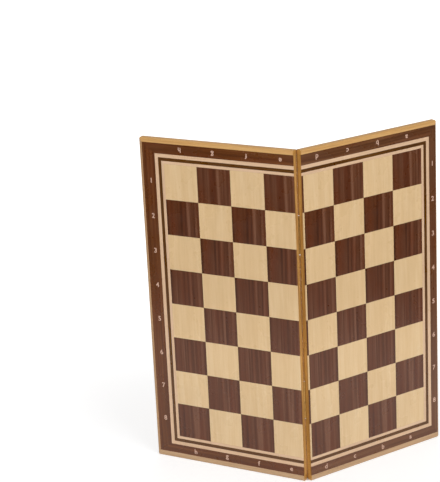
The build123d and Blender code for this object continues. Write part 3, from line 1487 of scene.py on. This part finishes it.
@dataclass
class Stage:
    """A white table under soft lamps in a dim room, which the camera sees as plain white.

    The lacquer mirrors the table only where it is within a step of the board, and the brass on the
    undersides mirrors a pale floor and wall behind. The camera sees the floor lifted towards plain
    white, but not in the mouth of the fold, which stays in its shade.

    Attributes:
        hinge: X and Y of the hinge pins, where the mouth of the fold is.
        reach: Half the floor's side.
        table_middle: The point on the floor that distances are taken from.
        table: The distances over which the mirrored table ends.
        white: How pale the floor is for the camera and where it is mirrored.
        bounce: How pale it is for all other light.
        mirror_lift: What the mirrored floor glows by.
        camera_lift: What the seen floor glows by, near the board and far from it.
        lift_reach: The distances between which that glow grows.
        lift_cost: The share of the glow that the seen floor's paleness loses.
        mouth: The distances from the hinge over which that glow sets in.
        back_floor: The Y over which the mirrored floor behind sets in.
        room: The room's light.
        mirrored_room: The light of the room that is mirrored.
        mirrored_back: The light of the wall behind that is mirrored.
        back_way: The share of +Y in a direction over which that wall sets in.
        back_top: The share of +Z over which it ends.
        lamps: The lamps.
    """

    hinge: tuple[float, float]
    reach: float = 6.0
    table_middle: tuple[float, float, float] = (-0.045, 0.0, 0.0)
    table: tuple[float, float] = (0.56, 0.66)
    white: float = 0.86
    bounce: float = 0.85
    mirror_lift: float = 0.3
    camera_lift: tuple[float, float] = (0.55, 1.0)
    lift_reach: tuple[float, float] = (0.2, 0.8)
    lift_cost: float = 0.5
    mouth: tuple[float, float] = (0.003, 0.006)
    back_floor: tuple[float, float] = (0.1, 0.3)
    room: float = 0.32
    mirrored_room: float = 0.03
    mirrored_back: float = 0.7
    back_way: tuple[float, float] = (0.1, 0.5)
    back_top: tuple[float, float] = (0.0, 0.25)
    lamps: tuple[Lamp, ...] = (
        Lamp("front_left", (-3.0, -3.8, 2.7), 3.6, 128.0),
        Lamp("front_right", (3.0, -3.8, 2.5), 3.6, 144.0),
        Lamp("overhead", (0.0, 0.1, 2.1), 1.6, 3.0),
        Lamp("behind", (0.2, 1.8, 1.9), 1.6, 8.0),
    )

    def floor(self) -> None:
        """Make the floor, a flat square."""
        corners = np.array([(-1, -1, 0), (1, -1, 0), (1, 1, 0), (-1, 1, 0)], dtype=float)
        piece = new_piece("floor", corners * self.reach, [(0, 1, 2, 3)])
        piece.data.materials.append(self.floor_material())

    def floor_material(self) -> bpy.types.Material:
        """Tell the camera's, the mirrored and all other rays apart and give each its floor.

        Returns:
            The floor's material.
        """
        recipe, made = Recipe.material("floor")
        place = recipe.node("ShaderNodeTexCoord", output="Object")
        distance = self.from_point(recipe, place, self.table_middle)
        seen = recipe.node("ShaderNodeLightPath", output="Is Camera Ray")
        parts = recipe.node("ShaderNodeSeparateXYZ", inputs={0: place}, output="Y")
        paved = distance.rise(*self.table, 1.0, 0.0).most(parts.rise(*self.back_floor))
        mirrored = seen.other("Is Glossy Ray") * paved
        other = 1.0 - seen.most(seen.other("Is Glossy Ray"))
        mouth = self.from_point(recipe, place, (*self.hinge, 0.0)).rise(*self.mouth)
        lifted = seen * distance.rise(*self.lift_reach, *self.camera_lift) * mouth
        share = (seen - lifted * self.lift_cost + mirrored) * self.white + other * self.bounce
        pale = {"Color": recipe.vector(share, share, share)}
        lift = {"Color": WHITE, "Strength": lifted + mirrored * self.mirror_lift}
        matt = recipe.node("ShaderNodeBsdfDiffuse", inputs=pale)
        glow = recipe.node("ShaderNodeEmission", inputs=lift)
        both = recipe.node("ShaderNodeAddShader", inputs={0: matt, 1: glow})
        recipe.add("ShaderNodeOutputMaterial", inputs={"Surface": both})
        return made

    @staticmethod
    def from_point(recipe: Recipe, place: Socket, point: tuple[float, float, float]) -> Socket:
        """Add the node that gives the distance of a place from a point, in metres."""
        settings = {"operation": "DISTANCE"}
        return recipe.node("ShaderNodeVectorMath", settings, {0: place, 1: point}, "Value")

    def world(self) -> None:
        """Fill the room with dim even light, and show it as white to the camera."""
        world = bpy.data.worlds.new("room")
        world.use_nodes = True
        bpy.context.scene.world = world
        recipe = Recipe(world.node_tree)
        seen = recipe.node("ShaderNodeLightPath", output="Is Camera Ray")
        way = recipe.node("ShaderNodeTexCoord", output="Generated")
        parts = recipe.node("ShaderNodeSeparateXYZ", inputs={0: way}, output="Y")
        back = parts.rise(*self.back_way) * parts.other("Z").rise(*self.back_top, 1.0, 0.0)
        mirror = back * (self.mirrored_back - self.mirrored_room) + (self.mirrored_room - self.room)
        strength = seen * (1.0 - self.room) + seen.other("Is Glossy Ray") * mirror + self.room
        light = recipe.node("ShaderNodeBackground", inputs={"Color": WHITE, "Strength": strength})
        recipe.add("ShaderNodeOutputWorld", inputs={"Surface": light})

    def build(self) -> None:
        """Make the floor, the room and the lamps, and set the plain view transform."""
        self.floor()
        self.world()
        for lamp in self.lamps:
            lamp.build()
        bpy.context.scene.view_settings.view_transform = "Standard"


def new_piece(
    name: str, points: np.ndarray, faces: list[tuple[int, ...]], smooth: bool = False
) -> bpy.types.Object:
    """Make a mesh object at the origin from points in the row frame.

    Args:
        name: The piece's name.
        points: Its points, in metres.
        faces: Its faces, as places in the points.
        smooth: Whether its faces are shaded smooth.

    Returns:
        The object.
    """
    mesh = bpy.data.meshes.new(name)
    mesh.from_pydata(points.tolist(), [], faces)
    mesh.polygons.foreach_set("use_smooth", [smooth] * len(mesh.polygons))
    mesh.update()
    piece = bpy.data.objects.new(name, mesh)
    bpy.context.scene.collection.objects.link(piece)
    return piece


def paint(node: str, finish: Finish, leaf: LeafFrame) -> None:
    """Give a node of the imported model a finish, through its material slots.

    Args:
        node: The node's name.
        finish: The finish.
        leaf: The leaf that the node is on.
    """
    piece = frame["nodes"][node]
    material = finish.material(node, leaf)
    if not piece.material_slots:
        piece.data.materials.append(material)
    for holder in piece.material_slots:
        holder.material = material
    log.info("dressed %s", node)


def main() -> None:
    """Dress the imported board, add its marks and felt, and set the stage around it."""
    logging.basicConfig(level=logging.INFO, format="%(name)s: %(message)s")
    places = (LeafFrame.read(Side.LEFT), LeafFrame.read(Side.RIGHT))
    Camera().build(places[0].hinge)
    for place in places:
        Leaf(place).dress()
        for maker in (EdgeMarks(place), FeltPads(place)):
            piece = maker.build()
            maker.dress(piece)
            log.info("made %s", piece.name)
    Hinges(places).dress()
    Stage(places[0].hinge).build()


if __name__ == "__main__":
    main()
